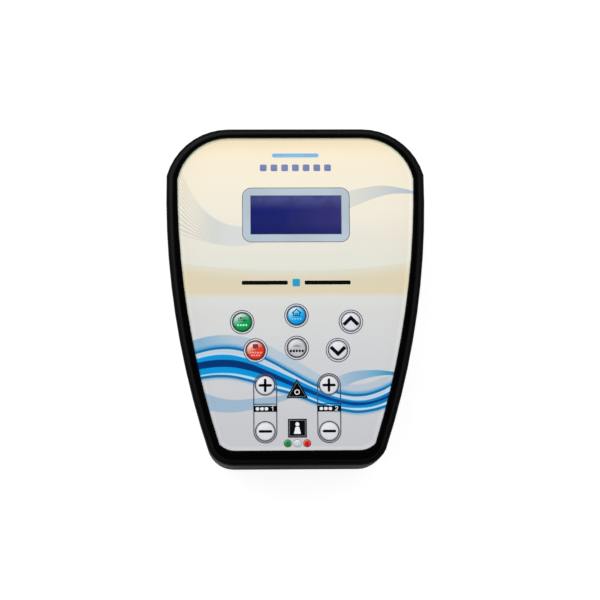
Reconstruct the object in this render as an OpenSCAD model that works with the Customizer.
// Two-channel electrotherapy unit. A shield-shaped case holds a printed face with a character
// display, ten push keys and three indicator lamps, and the boards and cells behind them.
// +Z is up out of the face, +Y points to the display end, and the origin lies on the table
// under the middle of the case.

/* [Case] */
// Width across the widest point
case_w = 110.8; // [110:0.1:113]
// Length from the front wall to the rear wall
case_l = 144.9; // [144:0.1:146]
// Height of the rim's crown above the table
case_h = 36; // [35.5:0.5:38]
// Height of the joint between the two half shells
split_z = 11; // [10.5:0.5:11.5]
// Thickness of the moulded walls
wall = 2.4; // [2.2:0.1:2.6]
// Radius of the roll-over from the side wall to the rim's crown
crown_r = 3; // [2:0.5:3.5]
// Radius of the edge round the underside
base_r = 3.5; // [2:0.5:4]

/* [Face] */
// Width of the rim at the sides
rim_side = 4.75; // [4.5:0.05:5.2]
// Width of the rim at the rear
rim_rear = 4.2; // [3.8:0.1:4.6]
// Width of the rim at the front
rim_front = 6.3; // [5.8:0.1:6.8]
// Depth of the face plate below the crown
recess = 1.6; // [1.4:0.1:2]
// Thickness of the printed overlay
overlay_t = 0.5; // [0.3:0.1:0.8]

/* [Display] */
// Width of the visible display area
view_w = 38.8; // [36:0.2:39]
// Height of the visible display area
view_h = 16.6; // [15:0.2:17]
// Distance of the display's middle from the case's middle
view_y = 34.7; // [34.4:0.1:35.2]

/* [Keys] */
// Radius of a key's cap
key_r = 3.95; // [3.6:0.05:4]
// Gap round a cap in the overlay and the face plate
key_gap = 0.2; // [0.15:0.05:0.3]
// Height of a cap above the overlay
key_proud = 0.2; // [0.1:0.05:0.4]
// Travel of a key
key_travel = 0.4; // [0.2:0.05:0.5]
// Distance of the two output channels from the middle
channel_x = 13.5; // [13:0.05:14]

/* [Connectors] */
// Radius of an output socket's bore, for a 3.5 mm plug
output_r = 1.78; // [1.75:0.01:1.8]
// Depth of an output socket's bore
output_depth = 14; // [12:0.5:15]
// Radius of the charger socket's mouth
charger_r = 2.8; // [2.7:0.05:3]
// Swing of the power rocker from one side to the other, in degrees
rocker_swing = 18; // [12:1:18]

/* [Hidden] */
$fn = 48;
KEY_NAMES = ["menu", "home", "up", "stop", "clear", "down",
             "out1_plus", "out1_minus", "out2_plus", "out2_minus"];
KEY_AT = [[-23.1, -11.5], [0, -8.8], [23.1, -11.5], [-17.5, -23.6], [0, -22.6], [17.5, -23.6],
          [-channel_x, -38.5], [-channel_x, -58], [channel_x, -38.5], [channel_x, -58]];
KEY_COLOURS = ["green", "deepskyblue", "white", "red", "silver", "white",
               "white", "white", "white", "white"];
LAMP_NAMES = ["green", "clear", "red"];
slip = 0.1;

// Heights, from the table up
base_z = 2;
floor_z = base_z + wall;
plate_z = case_h - recess;
under_plate_z = plate_z - wall;
overlay_z = plate_z + overlay_t;
board_t = 1.6;
main_z = under_plate_z - 7;
main_top_z = main_z + board_t;
power_z = floor_z + 2.6;
power_top_z = power_z + board_t;

// Plans: half width, y of the widest point, side radius, then y of the edge, half length of its
// straight part and corner radius, for the rear edge and for the front edge
CASE = [case_w / 2, 42.8, 338, case_l / 2, 28.6, 27.7, -case_l / 2, 26.9, 11.7];
FACE = [case_w / 2 - rim_side, 48.9, 365, case_l / 2 - rim_rear, 28.6, 22.5,
        -case_l / 2 + rim_front, 26.2, 9.6];

// Case screws and feet
screw_at = [[-44, 50], [44, 50], [-36.5, -44], [36.5, -44]];
screw_r = 1.5;
screw_head_r = 2.8;
screw_joint_z = 14;
foot_at = [[-40, 37], [40, 37], [-27, -56.5], [27, -56.5]];
foot_r = 4.5;
foot_pocket = 0.6;

// Display module
module_w = 58;
module_h = 32;
bezel_w = 43;
bezel_h = 20;
window_w = 44.4;
window_h = 21.6;
window_t = 1.2;
display_screw_at = [for (x = [-26.5, 26.5], y = [-13.4, 13.4]) [x, view_y + y]];

// Boards
main_rear_y = 16;
main_screw_at = [[-31, 9], [31, 9], [-25, -50], [25, -50]];
power_w = 72;
power_y = [14, 60];
power_screw_at = [for (x = [-32, 32], y = [18, 56]) [x, y]];
boss_r = 2.4;
small_screw_r = 0.95;
small_head_r = 1.9;

// Keys and lamps
flange_r = 5.2;
flange_t = 1;
plunger_r = 1.75;
plunger_l = 1.6;
plunger_top_z = under_plate_z - slip - flange_t;
switch_w = 6;
switch_h = 3.5;
lamp_r = 1.6;
lamp_pitch = 4.1;
lamp_y = -63.1;

// Battery bay
cell_r = 7.1;
cell_l = 49.2;
cell_pitch = 14.8;
cell_count = 4;
bay_w = cell_count * cell_pitch + 1.2;
bay_y = [-46, 8];
bay_mid_y = (bay_y[0] + bay_y[1]) / 2;
bay_wall = 1.6;
bay_top_z = 19.2;
cell_z = floor_z + cell_r;
door_t = 2;
door_lip = 1.3;
door_pin_r = 0.6;
door_pin_l = 1;
door_hinge_y = bay_y[0] - door_lip + door_t / 2;
door_hinge_z = base_z + door_t / 2;

// Connector panel in the rear wall
panel_w = 56;
panel_z = [13.6, 30];
panel_y = case_l / 2 - 4;
panel_mid_z = (panel_z[0] + panel_z[1]) / 2;
output_x = [-21, -8];
charger_x = 6;
rocker_x = 20;
rocker_w = 7.8;
rocker_half_h = 6.1;
rocker_pin_r = 0.9;
rocker_pivot_y = panel_y - 2.5;

// Two ends of a range, from its middle and half length, or from its start and length
function span(mid, half) = [mid - half, mid + half];
function run(from, length) = [from, from + length];

// Point where two circles cross, on the chosen side of the line from the first to the second
function crossing(c0, r0, c1, r1, side) =
    let (d = norm(c1 - c0), u = (c1 - c0) / d, a = (r0 * r0 - r1 * r1 + d * d) / (2 * d))
    c0 + a * u + side * sqrt(r0 * r0 - a * a) * [-u[1], u[0]];
function bearing(v) = atan2(v[1], v[0]);
function arc(c, r, from, to, steps) =
    [for (k = [0:steps]) let (t = from + (to - from) * k / steps) c + r * [cos(t), sin(t)]];

// Right half of a plan, from the rear edge round to the front edge, moved inwards by inset
function half_outline(p, inset) =
    let (side_c = [p[0] - p[2], p[1]], side_r = p[2] - inset,
         rear_c = [p[4], p[3] - p[5]], rear_r = p[5] - inset,
         front_c = [p[7], p[6] + p[8]], front_r = p[8] - inset,
         rear_x = crossing(side_c, side_r, rear_c, rear_r, 1),
         front_x = crossing(side_c, side_r, front_c, front_r, -1))
    concat(arc(rear_c, rear_r, 90, bearing(rear_x - rear_c), 9),
           arc(side_c, side_r, bearing(rear_x - side_c), bearing(front_x - side_c), 10),
           arc(front_c, front_r, bearing(front_x - front_c), -90, 6));
function outline(p, inset = 0) =
    let (half = half_outline(p, inset), last = len(half) - 1)
    concat(half, [for (k = [0:last]) [-half[last - k][0], half[last - k][1]]]);

// A flat plate of a plan between two heights
module plan_plate(p, inset, z0, z1) {
    translate([0, 0, z0]) linear_extrude(z1 - z0) polygon(outline(p, inset));
}

// A block centred in x about a middle, given its y and z ranges
module block(x, w, y, z) {
    translate([x - w / 2, y[0], z[0]]) cube([w, y[1] - y[0], z[1] - z[0]]);
}

// An upright cylinder between two heights
module post(at, r, z0, z1) {
    translate([at[0], at[1], z0]) cylinder(r = r, h = z1 - z0);
}

// A cylinder along y, between two y values
module along_y(x, z, r, y) {
    translate([x, y[1], z]) rotate([90, 0, 0]) cylinder(r = r, h = y[1] - y[0]);
}

// A cylinder along x, between two x values
module along_x(y, z, r, x) {
    translate([x[0], y, z]) rotate([0, 90, 0]) cylinder(r = r, h = x[1] - x[0]);
}

// A profile given as [y, z] points, extruded in x about a middle
module strip(x, w, points) {
    translate([x + w / 2, 0, 0]) rotate([90, 0, -90]) mirror([1, 0, 0])
        linear_extrude(w) polygon(points);
}

module screw(at, r, head_r, z_head, z_seat, z_tip) {
    post(at, head_r, z_head, z_seat);
    post(at, r, z_seat, z_tip);
}

// ---------------------------------------------------------------- case

module top_skin() {
    hull() {
        plan_plate(CASE, 0, split_z, case_h - crown_r);
        for (t = [18:18:90])
            plan_plate(CASE, crown_r * (1 - cos(t)), case_h - crown_r, case_h - crown_r * (1 - sin(t)));
    }
}

module top_case() {
    color("black") difference() {
        union() {
            difference() {
                top_skin();
                plan_plate(CASE, wall, split_z - 1, under_plate_z);
                plan_plate(CASE, 1.15, split_z - 1, split_z + 1.8);
            }
            // Wall behind the connector panel
            block(0, panel_w + 2 * wall, [panel_y - wall, panel_y + 1.5],
                  [panel_z[0] - 0.7, under_plate_z]);
            for (at = screw_at) post(at, 3.6, screw_joint_z, under_plate_z);
            for (at = display_screw_at) post(at, boss_r, main_top_z, under_plate_z);
            for (at = main_screw_at) post(at, boss_r, main_top_z, under_plate_z);
        }
        plan_plate(FACE, 0, plate_z, case_h + 1);
        // Connector panel and the holes through it
        block(0, panel_w, [panel_y, case_l / 2 + 1], panel_z);
        for (x = output_x) along_y(x, panel_mid_z, 3.1, [panel_y - wall - 1, panel_y + 1]);
        along_y(charger_x, panel_mid_z, 4.1, [panel_y - wall - 1, panel_y + 1]);
        block(rocker_x, 10.2, [panel_y - wall - 1, panel_y + 1], span(panel_mid_z, 7.7));
        // Screw holes in the bosses
        for (at = screw_at) post(at, 1.25, screw_joint_z - 1, 26);
        for (at = concat(display_screw_at, main_screw_at))
            post(at, 0.8, main_top_z - 1, under_plate_z);
        // Display window and its seat, key holes and lamp holes
        block(0, window_w + 2 * slip, span(view_y, window_h / 2 + slip),
              [plate_z - window_t, case_h]);
        block(0, bezel_w + 0.4, span(view_y, bezel_h / 2 + 0.2), [under_plate_z - 1, case_h]);
        for (at = KEY_AT) post(at, key_r + key_gap, under_plate_z - 1, case_h);
        for (k = [-1:1]) post([k * lamp_pitch, lamp_y], lamp_r + slip, under_plate_z - 1, case_h);
    }
}

module bottom_skin() {
    hull() {
        plan_plate(CASE, 0.12, base_z + base_r, split_z);
        for (t = [18:18:90])
            plan_plate(CASE, 0.12 + base_r * (1 - cos(t)), base_z + base_r * (1 - sin(t)),
                       base_z + base_r);
    }
}

module bottom_case() {
    color("#1b1b1d") difference() {
        union() {
            difference() {
                bottom_skin();
                plan_plate(CASE, wall, floor_z + 1.2, split_z + 1);
                plan_plate(CASE, wall + 2, floor_z, split_z + 1);
            }
            // Tongue that fits inside the top case
            difference() {
                plan_plate(CASE, 1.3, split_z - 1, split_z + 1.6);
                plan_plate(CASE, wall, split_z - 2, split_z + 2);
            }
            // Walls and roof of the battery bay
            block(0, bay_w + 2 * bay_wall, bay_y + bay_wall * [-1, 1],
                  [floor_z - 0.5, bay_top_z + bay_wall]);
            for (at = screw_at) post(at, 4.2, floor_z - 0.5, screw_joint_z);
            for (at = power_screw_at) post(at, boss_r, floor_z - 0.5, power_z);
        }
        block(0, bay_w, bay_y, [base_z - 1, bay_top_z]);
        // Seat for the door, with a hinge hole in each side
        block(0, bay_w + 2 * door_lip + 0.4, bay_y + (door_lip + 0.2) * [-1, 1],
              [base_z - 1, base_z + door_t + 0.1]);
        along_x(door_hinge_y, door_hinge_z, door_pin_r + 0.05,
                span(0, bay_w / 2 + door_lip + door_pin_l + 0.1));
        for (at = screw_at) {
            post(at, screw_r + 0.15, base_z - 1, screw_joint_z + 1);
            post(at, screw_head_r + 0.3, base_z - 1, base_z + 4);
        }
        for (at = foot_at) post(at, foot_r, base_z - 1, base_z + foot_pocket);
        for (at = power_screw_at) post(at, 0.8, floor_z + 0.2, power_z + 1);
    }
}

module case_screws() {
    color("silver") for (at = screw_at)
        difference() {
            screw(at, 1.2, screw_head_r, base_z + 1.8, base_z + 4, 24);
            // Cross recess
            for (turn = [0, 90]) translate([at[0], at[1], base_z + 1]) rotate([0, 0, turn])
                translate([-1.7, -0.35, 0]) cube([3.4, 0.7, 2]);
        }
}

module rubber_feet() {
    color("dimgray") for (at = foot_at) translate([at[0], at[1], 0]) rotate_extrude()
        polygon([[0, 0], [foot_r - 0.8, 0], [foot_r - 0.1, 0.7],
                 [foot_r - 0.1, base_z + foot_pocket], [0, base_z + foot_pocket]]);
}

// ---------------------------------------------------------------- face

module face_overlay() {
    color("whitesmoke") difference() {
        plan_plate(FACE, 0.12, plate_z, overlay_z);
        block(0, view_w, span(view_y, view_h / 2), [plate_z - 1, case_h]);
        for (at = KEY_AT) post(at, key_r + key_gap, plate_z - 1, case_h);
        for (k = [-1:1]) post([k * lamp_pitch, lamp_y], lamp_r + slip, plate_z - 1, case_h);
    }
}

// Clear pane with a raised field that fills the opening in the overlay
module display_window() {
    color([0.75, 0.8, 0.9, 0.4]) union() {
        block(0, window_w, span(view_y, window_h / 2), [plate_z - window_t, plate_z]);
        block(0, view_w - slip, span(view_y, (view_h - slip) / 2),
              [plate_z - window_t, overlay_z - 0.05]);
    }
}

module display_bezel() {
    color("silver") difference() {
        block(0, bezel_w, span(view_y, bezel_h / 2),
              [main_top_z, plate_z - window_t - slip]);
        block(0, bezel_w - 1.4, span(view_y, bezel_h / 2 - 0.7),
              [main_top_z - 1, plate_z - window_t - slip - 0.7]);
        block(0, view_w + 1, span(view_y, (view_h + 1) / 2), [main_top_z, plate_z]);
    }
}

module display_glass() {
    color("midnightblue") block(0, bezel_w - 1.6, span(view_y, bezel_h / 2 - 0.8),
                                [main_top_z + 3.6, plate_z - window_t - slip - 0.75]);
}

module display_backlight() {
    color("ivory") block(0, bezel_w - 1.6, span(view_y, bezel_h / 2 - 0.8),
                         [main_top_z + 0.05, main_top_z + 3.55]);
}

module display_board() {
    color("darkgreen") difference() {
        block(0, module_w, span(view_y, module_h / 2), [main_z, main_top_z]);
        for (at = display_screw_at) post(at, small_screw_r + 0.15, main_z - 1, main_top_z + 1);
    }
}

module display_screws() {
    color("silver") for (at = display_screw_at)
        screw(at, 0.75, small_head_r, main_z - 1.2, main_z, main_z + 6);
}

// ---------------------------------------------------------------- main board and keys

module main_board() {
    color("darkgreen") difference() {
        plan_plate(CASE, 5, main_z, main_top_z);
        block(0, case_w, [main_rear_y, case_l], [main_z - 1, main_top_z + 1]);
        for (at = screw_at) post(at, 4.2, main_z - 1, main_top_z + 1);
        for (at = main_screw_at) post(at, small_screw_r + 0.15, main_z - 1, main_top_z + 1);
    }
}

module main_board_screws() {
    color("silver") for (at = main_screw_at)
        screw(at, 0.75, small_head_r, main_z - 1.2, main_z, main_z + 6);
}

// Housings with a well that leaves each plunger room for the key's travel
module tact_switches() {
    color("#333333") for (at = KEY_AT) difference() {
        block(at[0], switch_w, span(at[1], switch_w / 2), [main_top_z, main_top_z + switch_h]);
        post(at, plunger_r + 0.15, plunger_top_z - plunger_l - key_travel - slip,
             main_top_z + switch_h + 1);
    }
}

module plunger(k) {
    color("gray") post(KEY_AT[k], plunger_r, plunger_top_z - plunger_l, plunger_top_z);
}

// Flanged cap with an eased top edge
module key_cap(k) {
    ease = 0.25;
    top_z = overlay_z + key_proud;
    color(KEY_COLOURS[k]) translate([KEY_AT[k][0], KEY_AT[k][1], 0]) rotate_extrude()
        polygon([[0, plunger_top_z], [flange_r, plunger_top_z],
                 [flange_r, plunger_top_z + flange_t], [key_r, plunger_top_z + flange_t],
                 [key_r, top_z - ease], [key_r - ease, top_z], [0, top_z]]);
}

// Leaded lamp: a lens with a shallow dome on a wider collar, and two leads
module lamp(k) {
    x = (k - 1) * lamp_pitch;
    spacer_top_z = main_top_z + 2.4;
    color(["green", "lightcyan", "red"][k]) union() {
        translate([x, lamp_y, 0]) rotate_extrude()
            polygon(concat([[0, spacer_top_z], [1.95, spacer_top_z], [1.95, spacer_top_z + 0.8],
                            [lamp_r, spacer_top_z + 0.8], [lamp_r, overlay_z - 0.2]],
                           [for (t = [15:15:90]) [lamp_r * cos(t), overlay_z - 0.2 + 0.4 * sin(t)]]));
        for (side = [-1, 1])
            block(x + side * 0.9, 0.5, span(lamp_y, 0.25), [main_top_z, spacer_top_z + 0.1]);
    }
}

module lamp_spacers() {
    color("ivory") for (k = [-1:1]) difference() {
        post([k * lamp_pitch, lamp_y], 1.9, main_top_z, main_top_z + 2.4);
        block(k * lamp_pitch, 2.6, span(lamp_y, 0.4), [main_top_z - 1, main_top_z + 3]);
    }
}

// Flat package with a row of legs on two sides
module controller_chip() {
    color("#222222") union() {
        block(0, 12, [-30, -18], [main_z - 1.8, main_z - 0.2]);
        for (side = [-1, 1], k = [0:7])
            block(side * 6.5, 1.4, run(-29.2 + k * 1.5, 0.5), [main_z - 0.8, main_z]);
    }
}

// ---------------------------------------------------------------- power board

module power_board() {
    color("darkgreen") difference() {
        block(0, power_w, power_y, [power_z, power_top_z]);
        for (at = power_screw_at) post(at, small_screw_r + 0.15, power_z - 1, power_top_z + 1);
    }
}

module power_board_screws() {
    color("silver") for (at = power_screw_at) {
        post(at, small_head_r, power_top_z, power_top_z + 1.2);
        post(at, 0.75, power_z - 2, power_top_z);
    }
}

// Two laminated cores, each with its bobbin standing out of two sides
module output_transformers() {
    color("peru") for (x = [-20, 20]) {
        block(x, 13, [36, 47], [power_top_z, power_top_z + 11]);
        block(x, 9, [34.4, 48.6], [power_top_z + 2, power_top_z + 9]);
    }
}

module inductor() {
    color("#3a3a3a") post([0, 42], 5, power_top_z, power_top_z + 8);
}

module capacitors() {
    color("navy") for (x = [-25, -16, 16, 25]) post([x, 27], 3.15, power_top_z, power_top_z + 11);
}

// Round sounder with a sound hole in its top
module buzzer() {
    color("#151515") difference() {
        post([0, 28], 6, power_top_z, power_top_z + 5.5);
        post([0, 28], 1, power_top_z + 2, power_top_z + 6);
    }
}

module board_headers() {
    color("ivory") {
        block(0, 16, [15, 18.4], [power_top_z, power_top_z + 4]);
        block(0, 16, [11.6, 14], [main_z - 3, main_z]);
    }
}

// Flat cable from the power board's header up to the main board's header
module board_cable() {
    low = power_top_z + 4;
    high = main_z - 3;
    color("lightgray") strip(0, 13, [[16.4, low], [17, low], [17, high - 3.4], [13.1, high - 1.6],
                                     [13.1, high], [12.5, high], [12.5, high - 2], [16.4, high - 3.8]]);
}

// Short flat cable under the edges of the main board and the display board
module display_cable() {
    color("lightgray") for (side = [-1, 1])
        strip(side * 17, 8, [[13, main_z], [13, main_z - 1.6], [22, main_z - 1.6], [22, main_z],
                             [21.5, main_z], [21.5, main_z - 1.1], [13.5, main_z - 1.1],
                             [13.5, main_z]]);
}

// ---------------------------------------------------------------- battery

function cell_x(k) = (k - (cell_count - 1) / 2) * cell_pitch;
function cell_way(k) = k % 2 == 0 ? 1 : -1;

// Alternate cells point opposite ways
module battery_cells() {
    cell_y = bay_mid_y;
    color("goldenrod") for (k = [0:cell_count - 1])
        translate([cell_x(k), cell_y - cell_way(k) * 0.6, cell_z])
        rotate([cell_way(k) > 0 ? -90 : 90, 0, 0]) {
            translate([0, 0, -cell_l / 2]) cylinder(r = cell_r, h = cell_l);
            translate([0, 0, cell_l / 2]) cylinder(r = 2.6, h = 1);
        }
}

// Bent leaf springs that press on the flat end of each cell
module battery_springs() {
    color("silver") for (k = [0:cell_count - 1]) {
        way = cell_way(k);
        back_y = way > 0 ? bay_y[0] : bay_y[1];
        touch_y = bay_mid_y - way * (0.6 + cell_l / 2);
        front = abs(touch_y - back_y);
        leaf = [[0, -5], [0.4, -5], [0.4, 2], [front, 0.4], [front, 0.9], [0.4, 2.6], [0.4, 5], [0, 5]];
        strip(cell_x(k), 8, [for (p = leaf) [back_y + way * p[0], cell_z + p[1]]]);
    }
}

module battery_plates() {
    color("silver") for (k = [0:cell_count - 1]) {
        way = cell_way(k);
        tip_y = bay_mid_y - way * 0.6 + way * (cell_l / 2 + 1);
        wall_y = way > 0 ? bay_y[1] : bay_y[0];
        block(cell_x(k), 9, [min(tip_y, wall_y), max(tip_y, wall_y)], span(cell_z, 5));
    }
}

// Cover that swings down about pins at its rounded front edge
module battery_door() {
    door_w = bay_w + 2 * door_lip;
    color("#1b1b1d") union() {
        block(0, door_w, [door_hinge_y, bay_y[1] + door_lip], [base_z, base_z + door_t]);
        along_x(door_hinge_y, door_hinge_z, door_t / 2 - 0.05, span(0, door_w / 2));
        along_x(door_hinge_y, door_hinge_z, door_pin_r, span(0, door_w / 2 + door_pin_l));
        // Latch tongue that stands up inside the bay, and the ribs below it for a thumb
        block(0, 5, run(bay_y[1] - 1.8, 1.2), [base_z + door_t - 0.1, base_z + door_t + 2.2]);
        for (k = [0:4])
            block(0, 16, run(bay_y[1] - 3 - k * 2.2, 0.9), [base_z - 0.4, base_z + 0.1]);
    }
}

// ---------------------------------------------------------------- rear panel

// Panel-mount socket: a body behind the wall and a round bush through it
module output_socket(x) {
    mouth_y = panel_y + 2.6;
    color("#202020") difference() {
        union() {
            block(x, 9.4, [panel_y - wall - 13, panel_y - wall], span(panel_mid_z, 5.5));
            along_y(x, panel_mid_z, 3, [panel_y - wall - 1, mouth_y]);
        }
        along_y(x, panel_mid_z, output_r, [mouth_y - output_depth, mouth_y + 1]);
    }
}

module output_socket_1() { output_socket(output_x[0]); }
module output_socket_2() { output_socket(output_x[1]); }

// Flat ring with notches in its face for a pin wrench
module ring_nut(x, r, bore_r) {
    difference() {
        along_y(x, panel_mid_z, r, [panel_y, panel_y + 1.8]);
        along_y(x, panel_mid_z, bore_r, [panel_y - 1, panel_y + 3]);
        block(x, 1, run(panel_y + 1, 2), span(panel_mid_z, r + 1));
    }
}

module socket_nuts() {
    color("silver") for (x = output_x) ring_nut(x, 4.4, 3.05);
}

module charger_socket() {
    mouth_y = panel_y + 2.4;
    color("#202020") difference() {
        union() {
            block(charger_x, 11, [panel_y - wall - 11, panel_y - wall], span(panel_mid_z, 5.5));
            along_y(charger_x, panel_mid_z, 4, [panel_y - wall - 1, mouth_y]);
        }
        along_y(charger_x, panel_mid_z, charger_r, [mouth_y - 9.5, mouth_y + 1]);
    }
}

module charger_pin() {
    color("silver") along_y(charger_x, panel_mid_z, 1, [panel_y - 7.1, panel_y + 1.6]);
}

module charger_nut() {
    color("silver") ring_nut(charger_x, 5.6, 4.05);
}

// Snap-in housing, open towards the rear, with a hinge hole in each cheek
module power_switch() {
    color("#202020") difference() {
        union() {
            block(rocker_x, 12.4, run(panel_y, 1.6), span(panel_mid_z, 8.1));
            block(rocker_x, 10, [panel_y - 11, panel_y + 1], span(panel_mid_z, 7.6));
        }
        block(rocker_x, rocker_w + 0.4, [panel_y - 9, panel_y + 3], span(panel_mid_z, 7));
        along_x(rocker_pivot_y, panel_mid_z, rocker_pin_r + 0.06,
                span(rocker_x, rocker_w / 2 + 0.75));
    }
}

// Two-sided paddle on a hinge pin, resting in its off position
module power_rocker() {
    paddle = [[-3.2, -2.4], [3.2, -rocker_half_h + 0.4], [4.6, -rocker_half_h], [3.6, 0],
              [4.6, rocker_half_h], [3.2, rocker_half_h - 0.4], [-3.2, 2.4]];
    color("#101010") translate([rocker_x, rocker_pivot_y, panel_mid_z])
        rotate([-rocker_swing / 2, 0, 0]) union() {
            strip(0, rocker_w, paddle);
            along_x(0, 0, rocker_pin_r, span(0, rocker_w / 2 + 0.65));
        }
}

top_case();
bottom_case();
case_screws();
rubber_feet();
face_overlay();
display_window();
display_bezel();
display_glass();
display_backlight();
display_board();
display_screws();
display_cable();
main_board();
main_board_screws();
tact_switches();
controller_chip();
lamp_spacers();
power_board();
power_board_screws();
output_transformers();
inductor();
capacitors();
buzzer();
board_headers();
board_cable();
battery_cells();
battery_springs();
battery_plates();
battery_door();
output_socket_1();
output_socket_2();
socket_nuts();
charger_socket();
charger_pin();
charger_nut();
power_switch();
power_rocker();
for (k = [0:len(LAMP_NAMES) - 1])
    lamp(k);
for (k = [0:len(KEY_NAMES) - 1]) {
    key_cap(k);
    plunger(k);
}
